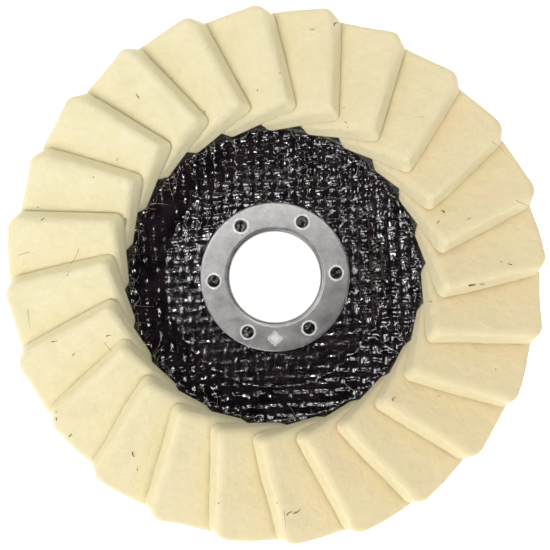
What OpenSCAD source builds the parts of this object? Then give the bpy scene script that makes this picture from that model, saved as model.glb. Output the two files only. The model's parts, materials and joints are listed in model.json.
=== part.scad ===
// Felt flap polishing wheel for a hand-held angle grinder, lying on its back.
// Millimetres. The origin is the centre of the bore at the rear clamp face,
// and +Z points out of the working face, where the felt flaps are.

/* [Centre ring] */
// Bore diameter, for the locating boss of a 22.23 mm grinder flange
bore_d = 22.23; // [22:0.01:22.6]
// Outer diameter of the front flange of the ring
ring_d = 36.5; // [34:0.1:40]
// Outer diameter of the rear lip, crimped over the back of the plies
lip_d = 31; // [28:0.1:32]
// Thickness of the sheet steel
steel_t = 0.8; // [0.6:0.05:1.2]
// Number of resin keying holes in the front flange
key_count = 6; // [4:1:8]
// Diameter of one keying hole
key_d = 3; // [2:0.1:3.6]
// Pitch circle of the keying holes
key_pcd = 30; // [29:0.1:30.5]
// Angle of the first keying hole from +X
key_phase = 63.8; // [0:0.1:90]

/* [Backing plate] */
// Number of glass mesh plies
ply_count = 4; // [2:1:6]
// Thickness of one ply
ply_t = 0.8; // [0.4:0.05:1]
// Outer diameter of the plies
plate_d = 114; // [104:1:118]
// Radius at which the flat hub ends
hub_r = 27; // [24:0.5:30]
// Radius at which the flat flange begins
flange_r = 34.5; // [32:0.5:35.2]
// How far the flange stands in front of the hub
dish = 3.2; // [2:0.1:5]
// Thickness of the adhesive under the flaps
bed_t = 0.8; // [0.4:0.1:1.5]

/* [Felt flaps] */
// Number of flaps
flap_count = 24; // [20:1:26]
// Distance from the axis to the inner end of a flap
flap_in = 36.5; // [36:0.5:39]
// Distance from the axis to the outer end of a flap
flap_out = 63; // [58:0.5:66]
// How far the raised edge of a flap lies clockwise of its middle line
lead_w = 8.5; // [7:0.1:12]
// How far the foot of a flap lies anticlockwise of its middle line
foot_w = 7.8; // [6:0.1:9]
// Tilt of a flap at its inner end
tilt_in = 32; // [28:0.5:34]
// Tilt of a flap at its outer end
tilt_out = 22.5; // [20:0.5:26]
// Height of the middle line of a flap over the adhesive
mid_h = 8.5; // [7:0.1:10]
// Clearance between neighbouring flaps
flap_gap = 0.25; // [0.1:0.05:0.6]
// Corner radius at the outer end of the raised edge
tip_r = 2.5; // [1:0.1:4]
// Corner radius at the other three corners
corner_r = 1.2; // [0.5:0.1:2]
// Clockwise angle from +Y to the middle line of the first flap
flap_phase = 4.8; // [0:0.1:15]

/* [Hidden] */
$fn = 96;
bore_r = bore_d / 2;
plies_z = steel_t;
plies_h = ply_count * ply_t;
flange_z = plies_z + plies_h;
ring_h = flange_z + steel_t;
bed_z = flange_z + dish;
foot_z = bed_z + bed_t;
bend_r = 0.7;
edge_r = 0.3;
key_fit = 0.05;
key_drop = 0.35;
mark_size = 2.4;
mark_depth = 0.2;
bed_inner_r = flange_r + 1;
bed_rim = 0.8;
flap_pitch = 360 / flap_count;
flap_rows = 9;
flap_cols = 6;

function two_digits(n) = str(n < 10 ? "0" : "", n);
function flap_name(k) = str("felt_flap_", two_digits(k + 1));
function ply_name(k) = str("mesh_ply_", k + 1);

// ---- centre ring -------------------------------------------------------

// A square corner less its quarter circle: the waste of a rounded edge.
// The edge's own corner is at the origin and the metal lies in +X +Y.
module round_waste(r) {
    difference() {
        translate([-1, -1]) square([1 + r, 1 + r]);
        translate([r, r]) circle(r = r);
    }
}

// Half section of the ring: front flange, barrel through the plies, rear lip.
module ring_section() {
    difference() {
        union() {
            translate([bore_r, 0]) square([steel_t, ring_h]);
            translate([bore_r, flange_z]) square([ring_d / 2 - bore_r, steel_t]);
            translate([bore_r, 0]) square([lip_d / 2 - bore_r, steel_t]);
        }
        translate([bore_r, 0]) round_waste(bend_r);
        translate([bore_r, ring_h]) mirror([0, 1]) round_waste(bend_r);
        translate([ring_d / 2, ring_h]) rotate(180) round_waste(edge_r);
        translate([lip_d / 2, 0]) mirror([1, 0]) round_waste(edge_r);
    }
}

module at_keys() {
    for (k = [0 : key_count - 1])
        rotate([0, 0, key_phase + k * 360 / key_count]) translate([key_pcd / 2, 0, 0]) children();
}

// One stamped lozenge stands between two of the keying holes.
module stamped_mark() {
    translate([0, -key_pcd / 2, ring_h - mark_depth])
        linear_extrude(1) rotate(45) square(mark_size, center = true);
}

module centre_ring() {
    color("silver")
    difference() {
        rotate_extrude() ring_section();
        at_keys() translate([0, 0, flange_z - 1]) cylinder(d = key_d, h = steel_t + 2);
        stamped_mark();
    }
}

// The resin that rose into the keying holes when the plies were pressed.
module resin_keys() {
    color([0.09, 0.08, 0.09])
    at_keys() translate([0, 0, flange_z]) cylinder(d = key_d - 2 * key_fit, h = steel_t - key_drop);
}

// ---- backing plate -----------------------------------------------------

// Every ply has the same dished section, one ply thickness above the last.
module mesh_ply(k) {
    barrel_r = bore_r + steel_t;
    plate_r = plate_d / 2;
    color([0.07, 0.06, 0.07])
    translate([0, 0, plies_z + k * ply_t])
    rotate_extrude()
    polygon([
        [barrel_r, 0],
        [hub_r, 0],
        [flange_r, dish],
        [plate_r, dish],
        [plate_r, dish + ply_t],
        [flange_r, dish + ply_t],
        [hub_r, ply_t],
        [barrel_r, ply_t]
    ]);
}

module adhesive_bed() {
    color([0.16, 0.14, 0.11])
    translate([0, 0, bed_z])
    difference() {
        cylinder(r = plate_d / 2 - bed_rim, h = bed_t);
        translate([0, 0, -1]) cylinder(r = bed_inner_r, h = bed_t + 2);
    }
}

// ---- felt flaps --------------------------------------------------------

// A flap is a pad of felt that twists a little along its length, so that it
// lies on its clockwise neighbour from end to end. Its faces are helical: on
// each circle about the axis they rise evenly, and the pad is as thick as the
// room that is left between two neighbouring faces.
function tilt_at(r) = tilt_in + (tilt_out - tilt_in) * (r - flap_in) / (flap_out - flap_in);
function felt_t_at(r) = r * flap_pitch * PI / 180 * sin(tilt_at(r)) - flap_gap;

// A point of the upper face over [x, y], where the middle line lies along +Y.
function upper(x, y) =
    let (r = norm([x, y]), turn = atan2(x, y))
    [x, y, foot_z + mid_h + r * turn * PI / 180 * tan(tilt_at(r))];

// The point of the lower face straight through the felt from an upper one.
function lower(p) =
    let (r = norm([p.x, p.y]), tilt = tilt_at(r), t = felt_t_at(r))
    let (q = p + t * [sin(tilt) * p.y / r, -sin(tilt) * p.x / r, -cos(tilt)])
    [q.x, q.y, max(q.z, foot_z)];

// How much a corner of radius c shortens the pad at distance d from its edge.
function corner_cut(c, d) =
    let (short = min(c, max(0, c - d)))
    c - sqrt(c * c - short * short);

// Rows run from the foot to the raised edge, closer together at the edges.
function row_x(j) =
    let (s = 0.5 - 0.5 * cos(180 * j / flap_rows))
    -foot_w + (foot_w + lead_w) * s;
function row_ends(x) =
    let (to_lead = lead_w - x, to_foot = x + foot_w)
    [
        flap_in + max(corner_cut(corner_r, to_lead), corner_cut(corner_r, to_foot)),
        flap_out - max(corner_cut(tip_r, to_lead), corner_cut(corner_r, to_foot))
    ];

function flap_top_points() = [
    for (j = [0 : flap_rows])
        let (x = row_x(j), ends = row_ends(x))
        for (i = [0 : flap_cols])
            upper(x, ends[0] + (ends[1] - ends[0]) * i / flap_cols)
];

module flap_pad() {
    across = flap_cols + 1;
    count = across * (flap_rows + 1);
    top = flap_top_points();
    bottom = [for (p = top) lower(p)];
    cells = [for (j = [0 : flap_rows - 1]) for (i = [0 : flap_cols - 1]) j * across + i];
    rim = concat(
        [for (i = [0 : flap_cols]) i],
        [for (j = [1 : flap_rows]) j * across + flap_cols],
        [for (i = [flap_cols - 1 : -1 : 0]) flap_rows * across + i],
        [for (j = [flap_rows - 1 : -1 : 1]) j * across]
    );
    sides = len(rim);
    faces = concat(
        [for (a = cells) [a, a + across, a + 1]],
        [for (a = cells) [a + 1, a + across, a + across + 1]],
        [for (a = cells) [count + a, count + a + 1, count + a + across]],
        [for (a = cells) [count + a + 1, count + a + across + 1, count + a + across]],
        [for (m = [0 : sides - 1]) [rim[m], rim[(m + 1) % sides], count + rim[m]]],
        [for (m = [0 : sides - 1]) [rim[(m + 1) % sides], count + rim[(m + 1) % sides], count + rim[m]]]
    );
    polyhedron(points = concat(top, bottom), faces = faces, convexity = 4);
}

module felt_flap(k) {
    color([0.93, 0.88, 0.68])
    rotate([0, 0, -(flap_phase + k * flap_pitch)]) flap_pad();
}

centre_ring();
resin_keys();
adhesive_bed();
for (k = [0 : ply_count - 1])
    mesh_ply(k);
for (k = [0 : flap_count - 1])
    felt_flap(k);
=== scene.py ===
"""Felt flap polishing wheel: the looks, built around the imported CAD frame.

Metres, in the row frame: +Z comes out of the working face, +Y is up in the main view. A clockwise angle
is measured from +Y as the main view shows it.
"""

import json
import math
import random

import bmesh
import bpy
import numpy as np
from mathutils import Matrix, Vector


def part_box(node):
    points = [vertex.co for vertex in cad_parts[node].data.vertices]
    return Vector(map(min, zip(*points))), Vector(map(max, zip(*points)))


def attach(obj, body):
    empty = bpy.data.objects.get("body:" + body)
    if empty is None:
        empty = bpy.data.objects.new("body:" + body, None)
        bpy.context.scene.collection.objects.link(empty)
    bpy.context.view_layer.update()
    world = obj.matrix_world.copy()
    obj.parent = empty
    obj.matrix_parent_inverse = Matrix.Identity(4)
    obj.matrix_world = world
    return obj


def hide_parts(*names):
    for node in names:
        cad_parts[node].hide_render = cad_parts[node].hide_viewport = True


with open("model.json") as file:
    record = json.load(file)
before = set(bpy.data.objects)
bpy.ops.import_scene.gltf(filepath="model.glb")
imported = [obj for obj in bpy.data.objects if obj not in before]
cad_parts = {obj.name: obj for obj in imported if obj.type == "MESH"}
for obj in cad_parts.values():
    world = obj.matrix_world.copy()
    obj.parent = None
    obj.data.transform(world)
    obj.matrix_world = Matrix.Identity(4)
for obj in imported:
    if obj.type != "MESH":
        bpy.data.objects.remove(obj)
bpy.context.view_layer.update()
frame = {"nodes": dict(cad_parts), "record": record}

MM = 0.001
SEED = 7

# ---- sizes read from the frame -------------------------------------------

BORE_R = frame["record"]["mounts"][0]["dims"]["r_mm"] * MM
RING_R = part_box("centre_ring")[1].x
RING_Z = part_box("centre_ring")[1].z
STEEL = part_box("mesh_ply_1")[0].z
FLANGE_Z = RING_Z - STEEL
PLATE_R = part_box("mesh_ply_4")[1].x
PLATE_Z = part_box("mesh_ply_4")[1].z
DISH = PLATE_Z - FLANGE_Z
PLY = (FLANGE_Z - STEEL) / 4
FOOT_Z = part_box("adhesive_bed")[1].z
BED_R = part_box("adhesive_bed")[1].x
FLAPS = sorted(n for n in frame["nodes"] if n.startswith("felt_flap_"))
PITCH = 2 * math.pi / len(FLAPS)

# ---- sizes that the frame doesn't state, as the CAD has them --------------

HUB_R = 27 * MM
FLANGE_R = 34.5 * MM
LIP_R = 15.5 * MM
BED_INNER_R = 35.5 * MM
KEY_R = 1.5 * MM
KEY_PITCH_R = 15 * MM
KEY_PHASE = math.radians(63.8)
KEY_COUNT = 6
KEY_ANGLES = [KEY_PHASE + k * 2 * math.pi / KEY_COUNT for k in range(KEY_COUNT)]
KEY_PLACES = [(KEY_PITCH_R * math.cos(a), KEY_PITCH_R * math.sin(a)) for a in KEY_ANGLES]
FLAP_PHASE = math.radians(4.8)
TILT_IN = math.radians(32)
TILT_OUT = math.radians(22.5)
MID_H = 8.5 * MM
FLAP_GAP = 0.25 * MM
FLAP_CORNER_R = 1.2 * MM


# ---- small helpers --------------------------------------------------------

def smooth_step(t):
    """Goes from 0 to 1 while t does, gently at both ends."""
    t = np.clip(t, 0, 1)
    return t * t * (3 - 2 * t)


def soft_max(a, b, blend):
    """The larger of a and b, with the fold between them rounded over about one blend."""
    return (a + b + np.sqrt((a - b) ** 2 + blend * blend)) / 2


def noise3(points, cell, seed):
    """Smooth random values from -1 to 1, one for each point, with features about one cell wide."""
    scaled = points / cell
    base = np.floor(scaled).astype(np.int64)
    part = smooth_step(scaled - base)
    total = np.zeros(len(points))
    for corner in np.ndindex(2, 2, 2):
        key = (base + corner) @ np.array([73856093, 19349663, 83492791]) + seed * 2654435761
        key = (key ^ (key >> 13)) * 1274126177 & 0xFFFFFFFF
        value = ((key ^ (key >> 16)) & 0xFFFF) / 32767.5 - 1
        weight = np.prod(np.where(corner, part, 1 - part), axis=1)
        total += value * weight
    return total


def quads(rows, cols, around=False):
    """Faces of a grid of points stored row by row. around joins the last column to the first."""
    r = np.arange(rows - 1)[:, None]
    c = np.arange(cols if around else cols - 1)[None, :]
    after = (c + 1) % cols
    cells = [r * cols + c, r * cols + after, (r + 1) * cols + after, (r + 1) * cols + c]
    return np.stack(cells, -1).reshape(-1, 4)


def closed_quads(rows, around):
    """Faces of rows of points round the axis, with the last row joined to the first."""
    last = (rows - 1) * around
    here = np.arange(around)
    after = (here + 1) % around
    closing = np.stack([last + here, last + after, after, here], 1)
    return np.concatenate([quads(rows, around, around=True), closing])


def mesh_piece(name, verts, faces, material):
    """A mesh object with smooth shading that rides on the wheel."""
    mesh = bpy.data.meshes.new(name)
    mesh.from_pydata(np.asarray(verts).tolist(), [], [list(map(int, f)) for f in faces])
    mesh.validate()
    mesh.shade_smooth()
    mesh.materials.append(material)
    piece = bpy.data.objects.new(name, mesh)
    bpy.context.scene.collection.objects.link(piece)
    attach(piece, "root")
    return piece


def vertex_values(piece, name, values):
    """Stores one number, or one vector, for each vertex, for a material to read."""
    values = np.asarray(values, np.float32)
    kind = "FLOAT" if values.ndim == 1 else "FLOAT_VECTOR"
    attribute = piece.data.attributes.new(name, kind, "POINT")
    attribute.data.foreach_set("value" if values.ndim == 1 else "vector", values.ravel())


def thin_tubes(paths, radii, sides=3):
    """Vertices and faces of one thin tube along each path. Each tapers to a quarter of its radius at its far
    end.
    """
    verts, faces = [], []
    start = 0
    for path, radius in zip(paths, radii):
        path = np.asarray(path)
        along = np.gradient(path, axis=0)
        along /= np.linalg.norm(along, axis=1)[:, None] + 1e-12
        side = np.cross(along, (0.31, 0.17, 0.93))
        side /= np.linalg.norm(side, axis=1)[:, None] + 1e-12
        up = np.cross(along, side)
        taper = radius * (1 - 0.75 * np.linspace(0, 1, len(path)) ** 2)
        turn = np.linspace(0, 2 * math.pi, sides, endpoint=False)
        ring = (
            path[:, None]
            + (side[:, None] * np.cos(turn)[None, :, None] + up[:, None] * np.sin(turn)[None, :, None])
            * taper[:, None, None]
        )
        verts.append(ring.reshape(-1, 3))
        faces += (quads(len(path), sides, around=True) + start).tolist()
        faces.append([start + s for s in range(sides)][::-1])
        faces.append([start + (len(path) - 1) * sides + s for s in range(sides)])
        start += len(path) * sides
    return np.concatenate(verts), faces


# ---- materials ------------------------------------------------------------

class Surface:
    """A material with a Principled shader, and short calls for the nodes that feed it."""

    def __init__(self, name, **settings):
        self.material = bpy.data.materials.new(name)
        self.material.use_nodes = True
        self.tree = self.material.node_tree
        self.shader = self.tree.nodes["Principled BSDF"]
        for socket, value in settings.items():
            self.shader.inputs[socket.replace("_", " ")].default_value = value

    def node(self, kind, inputs=(), **settings):
        made = self.tree.nodes.new(kind)
        for name, value in settings.items():
            setattr(made, name, value)
        for name, value in dict(inputs).items():
            if isinstance(value, bpy.types.NodeSocket):
                self.tree.links.new(value, made.inputs[name])
            else:
                made.inputs[name].default_value = value
        return made

    def place(self):
        return self.node("ShaderNodeTexCoord").outputs["Object"]

    def attribute(self, name, output="Fac"):
        return self.node("ShaderNodeAttribute", attribute_name=name).outputs[output]

    def stretched(self, vector, scale):
        return self.node("ShaderNodeMapping", {"Vector": vector, "Scale": scale}).outputs["Vector"]

    def noise(self, vector, size, detail=3.0, rough=0.55, distortion=0.0):
        """A noise whose features are about size metres across."""
        sockets = {"Vector": vector, "Scale": 1 / size, "Detail": detail}
        sockets |= {"Roughness": rough, "Distortion": distortion}
        return self.node("ShaderNodeTexNoise", sockets).outputs["Fac"]

    def spots(self, vector, size):
        sockets = {"Vector": vector, "Scale": 1 / size}
        return self.node("ShaderNodeTexVoronoi", sockets).outputs["Distance"]

    def ramp(self, value, *stops):
        """A colour ramp. Each stop is (position, colour)."""
        made = self.node("ShaderNodeValToRGB", {"Fac": value})
        elements = made.color_ramp.elements
        while len(elements) < len(stops):
            elements.new(0.5)
        for element, (position, colour) in zip(elements, stops):
            element.position = position
            element.color = (*colour, 1) if len(colour) == 3 else colour
        return made.outputs["Color"]

    def remap(self, value, low, high, to_low, to_high):
        sockets = {"Value": value, "From Min": low, "From Max": high, "To Min": to_low, "To Max": to_high}
        return self.node("ShaderNodeMapRange", sockets).outputs["Result"]

    def maths(self, operation, a, b):
        made = self.node("ShaderNodeMath", operation=operation)
        for socket, value in zip(made.inputs, (a, b)):
            if isinstance(value, bpy.types.NodeSocket):
                self.tree.links.new(value, socket)
            else:
                socket.default_value = value
        return made.outputs["Value"]

    def mix(self, share, a, b, blend="MIX"):
        made = self.node("ShaderNodeMix", data_type="RGBA", blend_type=blend)
        for socket, value in zip((made.inputs[0], made.inputs[6], made.inputs[7]), (share, a, b)):
            if isinstance(value, bpy.types.NodeSocket):
                self.tree.links.new(value, socket)
            else:
                socket.default_value = (*value, 1) if isinstance(value, tuple) else value
        return made.outputs[2]

    def bump(self, height, distance, strength=1.0, after=None):
        sockets = {"Height": height, "Distance": distance, "Strength": strength}
        if after is not None:
            sockets["Normal"] = after
        return self.node("ShaderNodeBump", sockets).outputs["Normal"]

    def feed(self, **sockets):
        for name, value in sockets.items():
            self.tree.links.new(value, self.shader.inputs[name.replace("_", " ")])
        return self.material


def felt_material():
    """Pressed wool felt: mottled cream, matte, with a fibrous grain and a few dark specks."""
    s = Surface("felt", Roughness=0.95, Sheen_Weight=0.15, Sheen_Roughness=0.5, Specular_IOR_Level=0.15)
    place = s.place()
    mottle = s.noise(place, 9 * MM, 4, 0.6, 0.6)
    pale = s.ramp(mottle, (0.3, (0.82, 0.75, 0.49)), (0.5, (0.88, 0.81, 0.55)), (0.7, (0.89, 0.815, 0.585)))
    # Painted warm light: a warmer felt colour, mixed in by each flap's place round the disc, stands in for
    # warmer light on the lower right.
    warm_lit = s.ramp(mottle, (0.3, (0.86, 0.72, 0.44)), (0.5, (0.88, 0.74, 0.46)), (0.7, (0.88, 0.69, 0.45)))
    colour = s.mix(s.attribute("felt_warm_light"), pale, warm_lit)
    clouds = s.noise(place, 3.2 * MM, 4, 0.65, 0.8)
    colour = s.mix(s.remap(clouds, 0.38, 0.68, 0.0, 0.38), colour, (0.76, 0.70, 0.42))
    fibre = s.noise(place, 0.5 * MM, 5, 0.7, 2.5)
    colour = s.mix(s.remap(fibre, 0.38, 0.70, 0.0, 0.34), colour, (0.68, 0.59, 0.36))
    lying = s.noise(s.stretched(place, (1, 0.16, 1)), 0.30 * MM, 3, 0.6, 3.0)
    colour = s.mix(s.remap(lying, 0.58, 0.78, 0.0, 0.35), colour, (0.93, 0.90, 0.76))
    # Cut side faces: the layered grain is the felt's own; their extra paleness is painted fill light that
    # lifts the walls' shade.
    layers = s.noise(s.stretched(place, (0.5, 0.5, 3)), 1.0 * MM, 4, 0.7, 0.8)
    wall = s.ramp(layers, (0.35, (0.86, 0.775, 0.49)), (0.65, (0.95, 0.875, 0.59)))
    colour = s.mix(s.maths("MULTIPLY", s.attribute("felt_cut_and_fill_light"), 0.70), colour, wall)
    # Painted shade: patchy brown darkening at each flap's lower edge, where it meets the next flap.
    patchy_shade = s.remap(s.noise(place, 1.1 * MM, 4, 0.7, 1.0), 0.42, 0.66, 0.0, 0.85)
    colour = s.mix(s.maths("MULTIPLY", s.attribute("felt_crease_shade"), patchy_shade), colour, (0.42, 0.30, 0.15))
    # Painted warm light: orange-pink blotches, only where the flaps take the warm tint.
    warm_light_blotches = s.remap(s.noise(place, 5 * MM, 3, 0.6, 0.5), 0.54, 0.72, 0.0, 0.40)
    colour = s.mix(s.maths("MULTIPLY", warm_light_blotches, s.attribute("felt_warm_light")), colour, (0.90, 0.68, 0.46))
    specks = s.remap(s.spots(place, 9 * MM), 0.01, 0.03, 0.6, 0.0)
    colour = s.mix(specks, colour, (0.12, 0.08, 0.04))
    normal = s.bump(s.noise(place, 0.45 * MM, 6, 0.7, 1.5), 0.16 * MM, 0.9)
    normal = s.bump(s.noise(place, 2.4 * MM, 3, 0.5, 0.4), 0.40 * MM, 0.8, normal)
    return s.feed(Base_Color=colour, Normal=normal)


def fibre_material(name, low, high, rough):
    s = Surface(name, Roughness=rough, Specular_IOR_Level=0.3)
    return s.feed(Base_Color=s.ramp(s.noise(s.place(), 3 * MM), (0.3, low), (0.7, high)))


def laminate_material():
    """Glass rovings under glossy black resin: fine filaments run along each strand."""
    s = Surface("laminate", Coat_Weight=0.8, Coat_Roughness=0.05, Specular_IOR_Level=0.6)
    place = s.place()
    strand = s.attribute("strand", "Vector")
    colour = s.ramp(s.noise(place, 5 * MM), (0.35, (0.004, 0.003, 0.004)), (0.7, (0.018, 0.011, 0.016)))
    rough = s.remap(s.noise(place, 1.1 * MM, 4), 0.3, 0.7, 0.05, 0.20)
    filaments = s.noise(s.stretched(strand, (1, 0.05, 1)), 0.16 * MM, 3, 0.6)
    normal = s.bump(filaments, 0.05 * MM, 0.45)
    normal = s.bump(s.noise(place, 0.6 * MM, 4, 0.6, 0.5), 0.08 * MM, 0.45, normal)
    return s.feed(Base_Color=colour, Roughness=rough, Normal=normal)


def resin_material():
    s = Surface("resin", Coat_Weight=0.3, Coat_Roughness=0.06, Specular_IOR_Level=0.5)
    place = s.place()
    colour = s.ramp(s.noise(place, 1.5 * MM), (0.35, (0.003, 0.003, 0.003)), (0.7, (0.012, 0.010, 0.011)))
    rough = s.remap(s.noise(place, 0.5 * MM), 0.3, 0.7, 0.08, 0.3)
    normal = s.bump(s.noise(place, 0.5 * MM, 3), 0.1 * MM, 0.8)
    return s.feed(Base_Color=colour, Roughness=rough, Normal=normal)


def adhesive_material():
    s = Surface("adhesive", Coat_Weight=0.3, Coat_Roughness=0.2)
    place = s.place()
    colour = s.ramp(s.noise(place, 3 * MM), (0.3, (0.012, 0.010, 0.008)), (0.7, (0.040, 0.034, 0.022)))
    rough = s.remap(s.noise(place, 1 * MM), 0.3, 0.7, 0.3, 0.6)
    return s.feed(Base_Color=colour, Roughness=rough, Normal=s.bump(s.noise(place, 1 * MM, 4), 0.2 * MM))


def steel_material():
    """Zinc-plated sheet steel: satin, with fine grain, crossing scratches and small dark pits."""
    s = Surface("steel", Metallic=1.0)
    place = s.place()
    cloud = s.noise(place, 4 * MM, 5, 0.65)
    colour = s.ramp(cloud, (0.3, (0.32, 0.312, 0.31)), (0.7, (0.54, 0.525, 0.52)))
    grain = s.noise(place, 0.35 * MM, 4, 0.75)
    colour = s.mix(s.remap(grain, 0.40, 0.66, 0.0, 0.45), colour, (0.26, 0.25, 0.25))
    pits = s.remap(s.spots(place, 1.6 * MM), 0.03, 0.09, 0.75, 0.0)
    colour = s.mix(pits, colour, (0.10, 0.09, 0.08))
    # Painted highlight: the burrs round the holes, the stamped lozenge and the outer edge turn near white and
    # less metallic, in place of bright reflections.
    painted_highlight = s.attribute("painted_highlight")
    colour = s.mix(painted_highlight, colour, (0.92, 0.91, 0.90))
    one_way = s.noise(s.stretched(place, (1, 0.04, 1)), 0.10 * MM, 3)
    other_way = s.noise(s.stretched(place, (0.05, 1, 1)), 0.13 * MM, 3)
    scratches = s.maths("MULTIPLY", one_way, other_way)
    rough = s.remap(s.maths("ADD", scratches, cloud), 0.5, 1.1, 0.30, 0.48)
    normal = s.bump(scratches, 0.035 * MM, 0.8)
    normal = s.bump(s.noise(place, 0.25 * MM, 4, 0.7), 0.030 * MM, 0.9, normal)
    metal = s.remap(painted_highlight, 0.0, 1.0, 1.0, 0.35)
    return s.feed(Base_Color=colour, Metallic=metal, Roughness=rough, Normal=normal)


def floor_material():
    s = Surface("floor", Roughness=0.8, Emission_Color=(1, 1, 1, 1), Emission_Strength=0.80)
    colour = s.ramp(s.noise(s.place(), 300 * MM), (0.3, (0.93, 0.93, 0.93)), (0.7, (0.95, 0.95, 0.95)))
    return s.feed(Base_Color=colour)


# ---- felt flaps -----------------------------------------------------------

# Round corners in plan, at the outer end of the raised edge and elsewhere, then the felt's rounded edges.
TIP_R = 3.0 * MM
CORNER_R = 1.8 * MM
EDGE_R = 1.4 * MM
LOWER_EDGE_R = 0.4 * MM
# Rows of vertices lie at these distances from an edge.
EDGE_STEPS = np.array([0.0, 0.04, 0.12, 0.25, 0.42, 0.65, 0.95, 1.3, 1.7]) * MM
# How far the inner and outer ends move outwards, at the foot and at the raised edge, and over what reach.
IN_AT_FOOT = -2.2 * MM
IN_AT_TOP = 1.4 * MM
IN_SPLAY = 1.7 * MM
OUT_AT_FOOT = -1.0 * MM
OUT_SPLAY = 0.6 * MM
LEAD_SKEW = 1.1 * MM
IN_REACH = 11 * MM
OUT_REACH = 8 * MM
SKEW_REACH = 22 * MM
WALL_ROWS = 8


def local_extent(node, angle):
    """Lowest and highest corner of a CAD flap's upper face, in a frame whose +Y is the flap's middle line.

    The lower face reaches past the raised edge, so the edge is where the flap is highest.
    """
    points = np.array([v.co for v in frame["nodes"][node].data.vertices])
    c, s = math.cos(angle), math.sin(angle)
    x = points[:, 0] * c - points[:, 1] * s
    y = points[:, 0] * s + points[:, 1] * c
    foot = x < x.min() + 0.01 * MM
    y_in, y_out = y[foot].min() - FLAP_CORNER_R, y[foot].max() + FLAP_CORNER_R
    return (x.min(), y_in), (x[points[:, 2].argmax()], y_out)


def edge_spacing(low, high, step):
    """Positions from low to high: close together at both ends, where the felt's edge is round."""
    inner = np.arange(1, math.ceil((high - low - 2 * EDGE_STEPS[-1]) / step))
    count = len(inner) + 1
    middle = low + EDGE_STEPS[-1] + inner * (high - low - 2 * EDGE_STEPS[-1]) / count
    return np.concatenate([low + EDGE_STEPS, middle, (high - EDGE_STEPS)[::-1]])


def corner_cut(radius, distance):
    """How much a corner of that radius shortens the pad at a distance from its edge."""
    inside = np.clip(radius - distance, 0, radius)
    return radius - np.sqrt(radius * radius - inside * inside)


def tilt_at(r, y_in, y_out):
    return TILT_IN + (TILT_OUT - TILT_IN) * (r - y_in) / (y_out - y_in)


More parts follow.
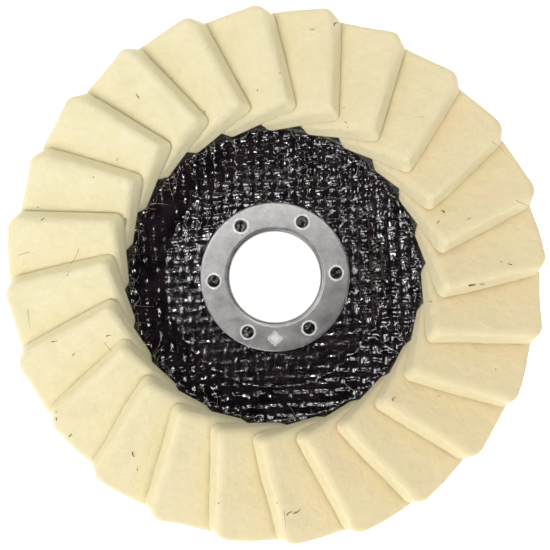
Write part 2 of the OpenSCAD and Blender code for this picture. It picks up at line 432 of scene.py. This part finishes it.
def flap_mesh(k, rng):
    """Vertices and faces of one felt pad in the row frame, and each vertex's share of painted warm light, of
    painted crease shade, and of cut face with its painted fill light.
    """
    angle = FLAP_PHASE + k * PITCH
    (x_foot, y_in), (x_lead, y_out) = local_extent(FLAPS[k], angle)
    tip = TIP_R * rng.uniform(0.9, 1.25)
    x = edge_spacing(x_foot, x_lead, 0.42 * MM)
    y_share = edge_spacing(0, y_out - y_in, 0.42 * MM) / (y_out - y_in)
    to_lead, to_foot = x_lead - x, x - x_foot
    start = y_in + np.maximum(corner_cut(CORNER_R, to_lead), corner_cut(CORNER_R, to_foot))
    end = y_out - np.maximum(corner_cut(tip, to_lead), corner_cut(CORNER_R, to_foot))
    gx = np.repeat(x[:, None], len(y_share), 1)
    gy = start[:, None] + (end - start)[:, None] * y_share[None, :]

    # Distance of each grid point from the pad's outline, a rectangle with round corners.
    mid_x, mid_y = (x_foot + x_lead) / 2, (y_in + y_out) / 2
    radius = np.where((gx > mid_x) & (gy > mid_y), tip, CORNER_R)
    qx = np.abs(gx - mid_x) - (x_lead - x_foot) / 2 + radius
    qy = np.abs(gy - mid_y) - (y_out - y_in) / 2 + radius
    outside = np.hypot(np.maximum(qx, 0), np.maximum(qy, 0)) + np.minimum(np.maximum(qx, qy), 0)
    inset = np.maximum(radius - outside, 0)

    r = np.hypot(gx, gy)
    tilt = tilt_at(r, y_in, y_out)
    thick = r * PITCH * np.sin(tilt) - FLAP_GAP
    top = corner_cut(EDGE_R, inset)
    bottom = thick - corner_cut(LOWER_EDGE_R, inset)
    rows, cols = gx.shape

    # The rim of the grid, once round: then the wall goes down it from the upper edge to the lower one.
    rim = (
        [(0, j) for j in range(cols)]
        + [(i, cols - 1) for i in range(1, rows)]
        + [(rows - 1, j) for j in range(cols - 2, -1, -1)]
        + [(i, 0) for i in range(rows - 2, 0, -1)]
    )
    ri = np.array([i for i, j in rim])
    rj = np.array([j for i, j in rim])
    down = np.linspace(0, 1, WALL_ROWS + 1)[1:-1, None]
    wall_depth = top[ri, rj] + (bottom[ri, rj] - top[ri, rj]) * down

    px = np.concatenate([gx.ravel(), gx.ravel(), np.tile(gx[ri, rj], WALL_ROWS - 1)])
    py = np.concatenate([gy.ravel(), gy.ravel(), np.tile(gy[ri, rj], WALL_ROWS - 1)])
    depth = np.concatenate([top.ravel(), bottom.ravel(), wall_depth.ravel()])

    # Both ends slant: they are further in at the foot, and the whole ring is splayed towards +Y.
    rise = np.clip((MID_H + px * math.tan(TILT_IN) - depth * math.cos(TILT_IN)) / (MID_H * 1.6), 0, 1)
    near_in = np.clip(1 - (py - y_in) / IN_REACH, 0, 1) ** 1.5
    near_out = np.clip(1 - (y_out - py) / OUT_REACH, 0, 1) ** 1.5
    in_top = IN_AT_TOP + IN_SPLAY * math.cos(angle)
    py = py + near_in * (IN_AT_FOOT + (in_top - IN_AT_FOOT) * rise)
    py = py + near_out * (OUT_AT_FOOT * (1 - rise) + OUT_SPLAY * math.cos(angle) * rise)
    inward = np.clip(1 - (py - y_in) / SKEW_REACH, 0, 1)
    px = px + LEAD_SKEW * inward * smooth_step((px - mid_x) / (x_lead - mid_x))

    # The helical face of the pad, and the felt below it along the face's own normal.
    pr = np.hypot(px, py)
    pt = tilt_at(pr, y_in, y_out)
    pz = FOOT_Z + MID_H + pr * np.arctan2(px, py) * np.tan(pt)
    normal = np.stack([-np.sin(pt) * py / pr, np.sin(pt) * px / pr, np.cos(pt)], 1)
    points = np.stack([px, py, pz], 1) - normal * depth[:, None]

    # Where the pad isn't covered by the next one it is free to lift, to crown and to fray out of line.
    free = smooth_step((px - (x_lead - pr * PITCH)) / (pr * PITCH * 0.5))
    wave = noise3(points + k, 7 * MM, SEED + k)
    lift = rng.uniform(0.0, 0.35) * MM
    points[:, 2] += free * (lift + 0.16 * MM * wave)
    outer_half = smooth_step((py - mid_y) / (y_out - mid_y))
    points[:, 1] += outer_half * (rng.uniform(-0.35, 0.3) + 0.35 * noise3(points, 9 * MM, SEED + 50 + k)) * MM
    near_lead = smooth_step((px - mid_x) / (x_lead - mid_x))
    points[:, 0] += near_lead * (rng.uniform(-0.2, 0.2) + 0.2 * noise3(points, 9 * MM, SEED + 90 + k)) * MM
    points += normal * (0.05 * MM * noise3(points, 1.8 * MM, SEED + 130 + k))[:, None]

    points[:, 2] = np.maximum(points[:, 2], FOOT_Z)

    count = rows * cols
    grid = quads(rows, cols)
    rim_top = ri * cols + rj
    loops = [rim_top] + [2 * count + w * len(rim) + np.arange(len(rim)) for w in range(WALL_ROWS - 1)]
    loops.append(count + rim_top)
    wall = []
    for above, below in zip(loops, loops[1:]):
        wall.append(np.stack([above, below, np.roll(below, -1), np.roll(above, -1)], 1))
    faces = np.concatenate([grid[:, ::-1], grid + count, *[w[:, ::-1] for w in wall]])

    c, s = math.cos(angle), math.sin(angle)
    across, out = points[:, 0], points[:, 1]
    placed = np.stack([across * c + out * s, out * c - across * s, points[:, 2]], 1)
    # Painted warm light: flaps towards the lower right get the warmer felt colour, with a little random tone
    # per flap.
    warm_lit = 0.5 - 0.5 * math.cos(angle + math.radians(70)) + rng.uniform(-0.12, 0.12)
    thickness = pr * PITCH * np.sin(pt) - FLAP_GAP
    # Painted crease shade near the lower face, and on that face only close to its edge.
    crease_shade = smooth_step((depth / thickness - 0.88) / 0.12)
    crease_shade[count : 2 * count] *= 1 - smooth_step(inset.ravel() / (0.5 * MM))
    # Share of cut side face, which gets the paler colour: partly the felt's grain, partly painted fill light.
    cut = smooth_step((depth - 0.35 * MM) / (0.7 * MM))
    return placed, faces, np.full(len(placed), min(max(warm_lit, 0), 1)), crease_shade, cut


def felt_pads(material):
    pads = []
    for k, node in enumerate(FLAPS):
        verts, faces, warm_light, crease_shade, cut = flap_mesh(k, random.Random(SEED + k))
        pad = mesh_piece(node.replace("flap", "pad"), verts, faces, material)
        vertex_values(pad, "felt_warm_light", warm_light)
        vertex_values(pad, "felt_crease_shade", crease_shade)
        vertex_values(pad, "felt_cut_and_fill_light", cut)
        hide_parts(node)
        pads.append(pad)
    return pads


# ---- mesh plies -----------------------------------------------------------

STRAND_PITCH = 2.55 * MM
STRAND_W = 0.92 * MM
STRAND_H = 0.40 * MM
STRAND_LIFT = 0.20 * MM
PLY_LEAN = (math.radians(3), math.radians(-7))
LOWER_LAYER = 0.231 * MM
POOL_DEPTH = 0.30 * MM
POOL_SHARE = 0.62
STRAND_COUNT = 64


def one_layer(x, y, lean, seed):
    """Height of a woven layer over its own middle, and each point's place across and along its strand."""
    rng = np.random.default_rng(seed)
    shift = rng.uniform(-0.13, 0.13, (2, STRAND_COUNT))
    width = STRAND_W * rng.uniform(0.8, 1.12, (2, STRAND_COUNT))
    points = np.stack([x, y, np.zeros_like(x)], 1)
    a = x * math.cos(lean) + y * math.sin(lean) + 0.35 * MM * noise3(points, 9 * MM, seed)
    b = y * math.cos(lean) - x * math.sin(lean) + 0.35 * MM * noise3(points, 9 * MM, seed + 1)
    layers = []
    for way, (across, along) in enumerate(((a, b), (b, a))):
        index = np.round(across / STRAND_PITCH).astype(int)
        row = index % STRAND_COUNT
        off = across - (index + shift[way][row]) * STRAND_PITCH
        profile = np.clip(1 - (off / width[way][row]) ** 2, 0, None)
        weave = np.cos(math.pi * (along / STRAND_PITCH + index + way))
        height = STRAND_H * np.sqrt(profile) + STRAND_LIFT * weave * np.sqrt(profile)
        layers.append((height, off, along + index * 0.11))
    (warp, warp_off, warp_along), (weft, weft_off, weft_along) = layers
    over = warp > weft
    off = np.where(over, warp_off, weft_off)
    strand = np.stack([off, np.where(over, warp_along, weft_along), over * 0.01], 1)
    return soft_max(warp, weft, 0.05 * MM), strand


def weave(x, y, seed):
    """Height over the ply's face of two layers of resin-coated mesh, one seen through the other."""
    upper, strand = one_layer(x, y, PLY_LEAN[0], seed)
    lower, lower_strand = one_layer(x + 1.1 * MM, y + 0.7 * MM, PLY_LEAN[1], seed + 10)
    lower = lower - LOWER_LAYER
    points = np.stack([x, y, np.zeros_like(x)], 1)
    pooled = smooth_step(0.5 - (0.35 * x + 0.9 * y) / (30 * MM) + 0.4 * noise3(points, 8 * MM, seed + 60))
    pooled = pooled * (1 - 0.7 * smooth_step((np.hypot(x, y) - HUB_R + 2 * MM) / (4 * MM)))
    film = 0.05 * MM * noise3(points, 1.1 * MM, seed + 20) - 0.06 * MM + POOL_DEPTH * pooled
    height = soft_max(upper, soft_max(lower, film, 0.06 * MM), 0.04 * MM)
    height = height + POOL_SHARE * pooled * (POOL_DEPTH - height)
    strand = np.where((upper > lower)[:, None], strand, lower_strand)
    return height + 0.03 * MM * noise3(points, 0.7 * MM, seed + 30), strand


def dish_z(r):
    """How far the plate's face stands in front of its hub at a radius."""
    return DISH * np.clip((r - HUB_R) / (FLANGE_R - HUB_R), 0, 1)


def ply_piece(name, node, material, base_z, out, fine, around, seed):
    """One ply as a closed body. Its outer face, towards out (1 is the front), carries the woven mesh.

    fine is the stretch of radii that shows, and around is the number of points in a ring.
    """
    hole_r = BORE_R + STEEL
    step = 2 * math.pi * sum(fine) / 2 / around
    hidden = np.linspace(hole_r, fine[0], 4)[:-1]
    shown = np.arange(fine[0], fine[1], step)
    rest = np.linspace(fine[1], PLATE_R - 0.3 * MM, 14) if fine[1] < PLATE_R - MM else np.array([])
    radii = np.concatenate([hidden, shown, rest])
    turn = np.linspace(0, 2 * math.pi, around, endpoint=False)
    rr, tt = np.meshgrid(radii, turn, indexing="ij")
    x, y = (rr * np.sin(tt)).ravel(), (rr * np.cos(tt)).ravel()
    height, strand = weave(x, y, seed)
    height = height * smooth_step((rr.ravel() - RING_R + 0.6 * MM) / (0.5 * MM))
    face_z = base_z + (PLY if out > 0 else 0)
    z = face_z + dish_z(rr.ravel()) + out * (height - 0.12 * MM)
    outer = np.stack([x, y, z], 1)

    # The rim and the inner face, which lies on the next ply.
    far_r = np.concatenate([[PLATE_R, PLATE_R], np.linspace(PLATE_R - 0.3 * MM, hole_r, 24)])
    far_z = base_z + dish_z(far_r) + (0 if out > 0 else PLY)
    far_z[0] += out * PLY * 0.75
    far_z[1] += out * PLY * 0.25
    fr, ft = np.meshgrid(far_r, turn, indexing="ij")
    ragged = np.where(fr > PLATE_R - 0.5 * MM, 0.3 * MM, 0)
    fx, fy = fr * np.sin(ft), fr * np.cos(ft)
    plan = np.stack([fx.ravel(), fy.ravel(), 0 * fx.ravel()], 1)
    edge = noise3(plan, 2.2 * MM, seed + 40).reshape(fx.shape)
    fx, fy = fx - ragged * (1 + edge) * np.sin(ft), fy - ragged * (1 + edge) * np.cos(ft)
    fz = np.repeat(far_z[:, None], around, 1)
    inner = np.stack([fx.ravel(), fy.ravel(), fz.ravel()], 1)
    verts = np.concatenate([outer, inner])
    faces = closed_quads(len(radii) + len(far_r), around)
    if out > 0:
        faces = faces[:, ::-1]
    piece = mesh_piece(name, verts, faces, material)
    flat = np.stack([fx.ravel(), fy.ravel(), 0 * fx.ravel()], 1)
    vertex_values(piece, "strand", np.concatenate([strand, flat]))
    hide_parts(node)
    return piece


def keying_resin(material):
    """Six small domes of resin that rose into the keying holes, uneven on top."""
    rings, around = 9, 28
    share = np.linspace(0, 1, rings)
    turn = np.linspace(0, 2 * math.pi, around, endpoint=False)
    verts, faces = [], []
    for key_x, key_y in KEY_PLACES:
        r = (KEY_R - 0.03 * MM) * share[:, None]
        x = key_x + r * np.cos(turn)
        y = key_y + r * np.sin(turn)
        points = np.stack([x.ravel(), y.ravel(), np.zeros(x.size)], 1)
        z = FLANGE_Z + 0.38 * MM + 0.16 * MM * noise3(points, 0.8 * MM, SEED + 200)
        top = np.stack([x.ravel(), y.ravel(), z], 1)
        foot = top[-around:].copy()
        foot[:, 2] = FLANGE_Z
        start = len(verts) * (rings + 1) * around
        verts.append(np.concatenate([top, foot]))
        faces += (quads(rings + 1, around, around=True) + start).tolist()
        faces.append([start + rings * around + i for i in range(around)][::-1])
    piece = mesh_piece("keying_resin", np.concatenate(verts), faces, material)
    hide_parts("resin_keys")


def adhesive_ring(material):
    """The bed of adhesive under the flaps, squeezed out into uneven beads at both edges."""
    around = 720
    section = [
        (BED_INNER_R, 0.0), (BED_INNER_R - 0.15 * MM, 0.3), (BED_INNER_R + 0.1 * MM, 0.75),
        (BED_INNER_R + 0.7 * MM, 0.98), (BED_INNER_R + 4 * MM, 0.98), ((BED_INNER_R + BED_R) / 2, 0.98),
        (BED_R - 3 * MM, 0.98), (BED_R - 0.5 * MM, 0.95), (BED_R - 0.1 * MM, 0.6), (BED_R - 0.2 * MM, 0.0),
    ]
    turn = np.linspace(0, 2 * math.pi, around, endpoint=False)
    rows = []
    for r, share in section:
        ring = np.stack([r * np.sin(turn), r * np.cos(turn), np.full(around, PLATE_Z)], 1)
        swell = noise3(ring, 2.6 * MM, SEED + 220) * 0.25 * MM * (1 if share else 0)
        towards = -1 if r < (BED_INNER_R + BED_R) / 2 else 1
        ring[:, :2] *= (1 + towards * swell / r)[:, None]
        ring[:, 2] += (FOOT_Z - PLATE_Z) * share
        rows.append(ring)
    faces = closed_quads(len(section), around)[:, ::-1]
    piece = mesh_piece("adhesive_ring", np.concatenate(rows), faces, material)
    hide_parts("adhesive_bed")


# ---- centre ring ----------------------------------------------------------

CROWN = 0.12 * MM
GROOVE = 0.06 * MM
BEND_R = 0.7 * MM
BURR_R = 0.18 * MM
BURR_AT = KEY_R + 0.17 * MM
MARK_SIZE = 2.4 * MM


def arc(cx, cy, radius, start, end, count):
    """Points on an arc in the ring's half section, between two angles in degrees."""
    turns = np.radians(np.linspace(start, end, count))
    return [(cx + radius * math.cos(t), cy + radius * math.sin(t)) for t in turns]


def ring_profile():
    """Half section of the ring, once round: bore, front flange, underside, barrel, rear lip."""
    edge = 0.28 * MM
    outer_z = RING_Z - CROWN
    front = arc(BORE_R + BEND_R, RING_Z - BEND_R, BEND_R, 180, 90, 9)
    groove_r = BORE_R + BEND_R + 0.15 * MM
    front += [(groove_r, RING_Z - GROOVE), (groove_r + 0.18 * MM, RING_Z - 0.01 * MM)]
    for share in np.linspace(0.05, 0.93, 24):
        front.append((groove_r + (RING_R - groove_r) * share, RING_Z - CROWN * share ** 2))
    front += arc(RING_R - edge, outer_z - edge, edge, 80, 0, 6)
    under = [(RING_R, FLANGE_Z + 0.1 * MM), (RING_R - 0.1 * MM, FLANGE_Z), (BORE_R + STEEL, FLANGE_Z)]
    rear = [(BORE_R + STEEL, STEEL), (LIP_R - 0.1 * MM, STEEL)]
    rear += arc(LIP_R - edge, edge, edge, 0, -90, 6) + arc(BORE_R + BEND_R, BEND_R, BEND_R, 270, 180, 9)
    return front + under + rear


def lathe(profile, around):
    """Vertices and faces of a closed half section turned about the axis."""
    profile = np.array(profile)
    turn = np.linspace(0, 2 * math.pi, around, endpoint=False)
    r, z = profile[:, 0][:, None], profile[:, 1][:, None]
    points = np.stack([r * np.cos(turn), r * np.sin(turn), np.broadcast_to(z, (len(profile), around))], -1)
    rows = np.concatenate([points, points[:1]])
    faces = quads(len(profile) + 1, around, around=True)
    return rows.reshape(-1, 3)[: len(profile) * around], faces % (len(profile) * around)


def plain_object(name, verts, faces):
    """A closed mesh object with its normals turned outwards, and nothing else set."""
    mesh = bpy.data.meshes.new(name)
    mesh.from_pydata(np.asarray(verts).tolist(), [], [list(map(int, f)) for f in faces])
    work = bmesh.new()
    work.from_mesh(mesh)
    bmesh.ops.recalc_face_normals(work, faces=work.faces)
    work.to_mesh(mesh)
    work.free()
    made = bpy.data.objects.new(name, mesh)
    bpy.context.scene.collection.objects.link(made)
    return made


def prism(x, y, low, high, radius, sides, top_radius=None):
    """A closed prism or cone about a vertical line, for cutting."""
    turns = np.linspace(0, 2 * math.pi, sides, endpoint=False)
    verts = []
    for z, r in ((low, radius), (high, radius if top_radius is None else top_radius)):
        verts += [(x + r * math.cos(t), y + r * math.sin(t), z) for t in turns]
    faces = [(i, (i + 1) % sides, sides + (i + 1) % sides, sides + i) for i in range(sides)]
    faces += [tuple(range(sides))[::-1], tuple(range(sides, 2 * sides))]
    return plain_object("cutter", verts, faces)


def torus(x, y, z, major, minor):
    """A round ring about a vertical line, for the burr round a hole."""
    turns = np.linspace(0, 2 * math.pi, 9)[:-1]
    section = [(major + minor * math.cos(t), minor * math.sin(t)) for t in turns]
    verts, faces = lathe(section, 40)
    return plain_object("rim", verts + np.array([x, y, z]), faces)


def combine(body, tool, operation):
    """Applies one exact boolean to body and deletes the tool."""
    modifier = body.modifiers.new("cut", "BOOLEAN")
    modifier.operation = operation
    modifier.solver = "EXACT"
    modifier.object = tool
    graph = bpy.context.evaluated_depsgraph_get()
    mesh = bpy.data.meshes.new_from_object(body.evaluated_get(graph))
    body.modifiers.remove(modifier)
    body.data = mesh
    bpy.data.objects.remove(tool)


def centre_ring(material):
    """The steel ring with a raised burr round each keying hole and one stamped lozenge."""
    ring = plain_object("steel_ring", *lathe(ring_profile(), 240))
    for x, y in KEY_PLACES:
        combine(ring, torus(x, y, RING_Z - BURR_R / 2, BURR_AT, BURR_R), "UNION")
        combine(ring, prism(x, y, FLANGE_Z - MM, RING_Z + MM, KEY_R, 40), "DIFFERENCE")
    half = MARK_SIZE / math.sqrt(2)
    combine(
        ring,
        prism(0, -KEY_PITCH_R, RING_Z - 0.25 * MM, RING_Z + 0.2 * MM, half * 0.75, 4, half * 1.2),
        "DIFFERENCE",
    )
    ring.data.shade_smooth()
    ring.data.set_sharp_from_angle(angle=math.radians(20))
    ring.data.materials.clear()
    ring.data.materials.append(material)
    at = np.array([v.co for v in ring.data.vertices])
    from_key = np.min([np.hypot(at[:, 0] - x, at[:, 1] - y) for x, y in KEY_PLACES], axis=0)
    from_mark = np.abs(at[:, 0]) + np.abs(at[:, 1] + KEY_PITCH_R)
    front = at[:, 2] > FLANGE_Z + 0.25 * MM
    burr = (np.abs(from_key - BURR_AT) < 0.20 * MM) & front
    mark = (from_mark < half * 1.15) & front
    rim = (np.hypot(at[:, 0], at[:, 1]) > RING_R - 0.22 * MM) & front
    # Painted highlight, strongest on the burrs, then the lozenge, weakest on the outer edge.
    vertex_values(ring, "painted_highlight", np.maximum(burr * 0.9, np.maximum(mark * 0.7, rim * 0.35)))
    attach(ring, "root")
    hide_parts("centre_ring")


# ---- loose fibres ---------------------------------------------------------

FUZZ_COUNT = 520
FRAY_COUNT = 1300
BURR_COUNT = 72
BIG_BURR_R = 45 * MM
BIG_BURR_ANGLE = math.radians(93)
HAIR_COUNT = 110
HAIR_SIDE = math.radians(285)


def curl(start, heading, length, rng, bend, steps):
    """A fibre that wanders from start: a list of points."""
    point = np.array(start, float)
    heading = np.array(heading, float)
    heading /= np.linalg.norm(heading)
    path = [point]
    drift = np.array([rng.gauss(0, 1), rng.gauss(0, 1), rng.gauss(0, 0.4)]) * bend
    for _ in range(steps):
        heading = heading + drift / steps
        heading /= np.linalg.norm(heading)
        point = point + heading * length / steps
        path.append(point)
    return path


def felt_fuzz(pads, material):
    """Short fibres that stand out of the felt, mostly along its cut edges."""
    rng = random.Random(SEED + 300)
    paths, radii = [], []
    for pad in pads:
        mesh = pad.data
        for _ in range(FUZZ_COUNT):
            vertex = mesh.vertices[rng.randrange(len(mesh.vertices))]
            if vertex.normal.z < -0.2 or vertex.co.z < FOOT_Z + 0.3 * MM:
                continue
            scatter = np.array([rng.gauss(0, 0.6) for _ in range(3)])
            heading = np.array(vertex.normal) + scatter
            start = np.array(vertex.co) - np.array(vertex.normal) * 0.05 * MM
            paths.append(curl(start, heading, rng.uniform(0.4, 1.6) * MM, rng, 1.4, 3))
            radii.append(rng.uniform(0.012, 0.026) * MM)
    verts, faces = thin_tubes(paths, radii)
    mesh_piece("felt_fuzz", verts, faces, material)


def polar(r, angle, z):
    return np.array([r * math.sin(angle), r * math.cos(angle), z])


def stray_felt_hairs(material):
    """Longer pale hairs that hang from the flaps' feet over the black mesh."""
    rng = random.Random(SEED + 310)
    paths, radii = [], []
    for _ in range(HAIR_COUNT):
        angle = rng.gauss(HAIR_SIDE, 1.3)
        start = polar(rng.uniform(34.6, 36) * MM, angle, FOOT_Z + rng.uniform(0, 1.5) * MM)
        aim = angle + math.pi + rng.gauss(0, 0.9)
        heading = (math.sin(aim), math.cos(aim), rng.uniform(-0.5, 0.1))
        path = np.array(curl(start, heading, rng.uniform(1.5, 6.0) * MM, rng, 2.0, 16))
        floor = FLANGE_Z + dish_z(np.hypot(path[:, 0], path[:, 1])) + 0.45 * MM
        path[:, 2] = np.maximum(path[:, 2], floor)
        paths.append(path)
        radii.append(rng.uniform(0.014, 0.024) * MM)
    verts, faces = thin_tubes(paths, radii, 4)
    mesh_piece("stray_felt_hairs", verts, faces, material)


def dark_burrs(pads, material):
    """Bits of dark hair and straw that wool felt holds, lying in the faces of the flaps."""
    rng = random.Random(SEED + 330)
    paths, radii = [], []
    for _ in range(BURR_COUNT):
        vertices = rng.choice(pads).data.vertices
        top = vertices[rng.randrange(len(vertices) * 2 // 5)]
        if top.normal.z < 0.6:
            continue
        aim = rng.uniform(0, 2 * math.pi)
        heading = (math.sin(aim), math.cos(aim), 0.0)
        length = rng.choice((0.8, 1.1, 1.4, 1.9, 5.0)) * MM
        start = np.array(top.co) + (0, 0, 0.03 * MM)
        paths.append(curl(start, heading, length, rng, 1.2, 7))
        radii.append((0.04 if length > 3 * MM else rng.uniform(0.06, 0.16)) * MM)

    # The largest one lies along the raised edge of a flap on the right.
    spot = polar(BIG_BURR_R, BIG_BURR_ANGLE, 0)
    near = [v.co for pad in pads for v in pad.data.vertices if (v.co.xy - Vector(spot[:2])).length < 0.5 * MM]
    start = np.array(max(near, key=lambda co: co.z)) + (0, 0, 0.06 * MM)
    for length, radius, shift in ((1.7, 0.20, 0.0), (1.3, 0.10, 2.6)):
        heading = (1.0, 0.12, 0.04)
        paths.append(curl(start + np.array(heading) * shift * MM, heading, length * MM, rng, 0.4, 7))
        radii.append(radius * MM)
    verts, faces = thin_tubes(paths, radii, 5)
    mesh_piece("dark_burrs", verts, faces, material)


def frayed_glass(material):
    """Short broken black filaments along the line where the mesh goes under the felt."""
    rng = random.Random(SEED + 320)
    paths, radii = [], []
    for _ in range(FRAY_COUNT):
        angle = rng.uniform(0, 2 * math.pi)
        r = rng.uniform(33.4, 35.6) * MM
        z = FLANGE_Z + dish_z(r) + rng.uniform(0.1, 0.5) * MM
        aim = angle + rng.gauss(0, 1.1)
        heading = (math.sin(aim), math.cos(aim), rng.uniform(0.0, 0.9))
        paths.append(curl(polar(r, angle, z), heading, rng.uniform(0.6, 1.9) * MM, rng, 1.0, 5))
        radii.append(rng.uniform(0.02, 0.05) * MM)
    verts, faces = thin_tubes(paths, radii, 3)
    mesh_piece("frayed_glass", verts, faces, material)


# ---- stage ----------------------------------------------------------------

FLOOR_SIDE = 4.0
WORLD_STRENGTH = 0.66
# Name, place, size and watts of each lamp that lights nothing but is seen in the resin and the steel.
REFLECTIONS = (
    ("glint_high", (0.04, 0.16, 0.55), 0.040, 0.42),
    ("glint_low", (-0.15, -0.35, 0.46), 0.060, 0.80),
    ("sheen", (0.09, 0.12, 0.56), 0.07, 0.05),
    ("overhead", (-0.25, 0.09, 0.54), 0.20, 0.95),
)


def area_light(name, place, target, size, watts, colour=(1, 1, 1)):
    """A round lamp that faces its target."""
    light = bpy.data.lights.new(name, "AREA")
    light.shape = "DISK"
    light.size = size
    light.energy = watts
    light.color = colour
    lamp = bpy.data.objects.new(name, light)
    lamp.location = place
    lamp.rotation_euler = (Vector(target) - Vector(place)).to_track_quat("-Z", "Y").to_euler()
    bpy.context.scene.collection.objects.link(lamp)
    return lamp


def stage():
    """A pale floor, white surroundings, a key lamp, and lamps that only show as reflections."""
    side = FLOOR_SIDE
    verts = [(-side, -side, 0), (side, -side, 0), (side, side, 0), (-side, side, 0)]
    floor = plain_object("floor", verts, [(0, 1, 2, 3)])
    floor.data.materials.append(floor_material())

    world = bpy.data.worlds.new("studio")
    world.use_nodes = True
    world.node_tree.nodes["Background"].inputs["Color"].default_value = (1, 1, 1, 1)
    world.node_tree.nodes["Background"].inputs["Strength"].default_value = WORLD_STRENGTH
    world.cycles_visibility.glossy = False
    bpy.context.scene.world = world
    centre = (0, 0, 0.01)
    key = area_light("key", (-0.20, -0.20, 0.56), centre, 0.34, 2.00, (1.0, 0.985, 0.94))
    key.visible_glossy = False
    for name, place, size, watts in REFLECTIONS:
        lamp = area_light(name, place, centre, size, watts)
        lamp.visible_diffuse = False
    bpy.context.scene.view_settings.view_transform = "Standard"


CAMERA_DISTANCE = 0.28
CAMERA_LENS = 75
# How far the hub lies below the middle of the picture, as a share of its width.
CAMERA_SHIFT = 1 / 275


def camera():
    """Looks straight down at the ring's face, as the contact lines of the flaps show in the photograph."""
    lens = bpy.data.cameras.new("camera")
    lens.lens = CAMERA_LENS
    lens.clip_start = 0.01
    lens.shift_y = CAMERA_SHIFT
    view = bpy.data.objects.new("camera", lens)
    view.location = (0, 0, RING_Z + CAMERA_DISTANCE)
    bpy.context.scene.collection.objects.link(view)
    bpy.context.scene.camera = view


# ---- the wheel ------------------------------------------------------------

camera()
stage()

felt = felt_material()
laminate = laminate_material()
pads = felt_pads(felt)
felt_fuzz(pads, fibre_material("felt_fibre", (0.80, 0.73, 0.52), (0.88, 0.83, 0.66), 0.9))
front_reach = (RING_R - 0.8 * MM, 37.5 * MM)
rear_reach = (LIP_R - 0.8 * MM, PLATE_R)
ply_piece("front_mesh_ply", "mesh_ply_4", laminate, FLANGE_Z - PLY, 1, front_reach, 720, SEED + 400)
ply_piece("rear_mesh_ply", "mesh_ply_1", laminate, STEEL, -1, rear_reach, 620, SEED + 500)
for node in ("mesh_ply_2", "mesh_ply_3"):
    frame["nodes"][node].data.materials.clear()
    frame["nodes"][node].data.materials.append(laminate)
keying_resin(resin_material())
adhesive_ring(adhesive_material())
centre_ring(steel_material())
stray_felt_hairs(fibre_material("stray_hair", (0.72, 0.66, 0.48), (0.88, 0.84, 0.70), 0.7))
dark_burrs(pads, fibre_material("burr", (0.05, 0.035, 0.02), (0.22, 0.15, 0.08), 0.8))
frayed_glass(fibre_material("frayed_filament", (0.006, 0.008, 0.006), (0.03, 0.035, 0.026), 0.35))
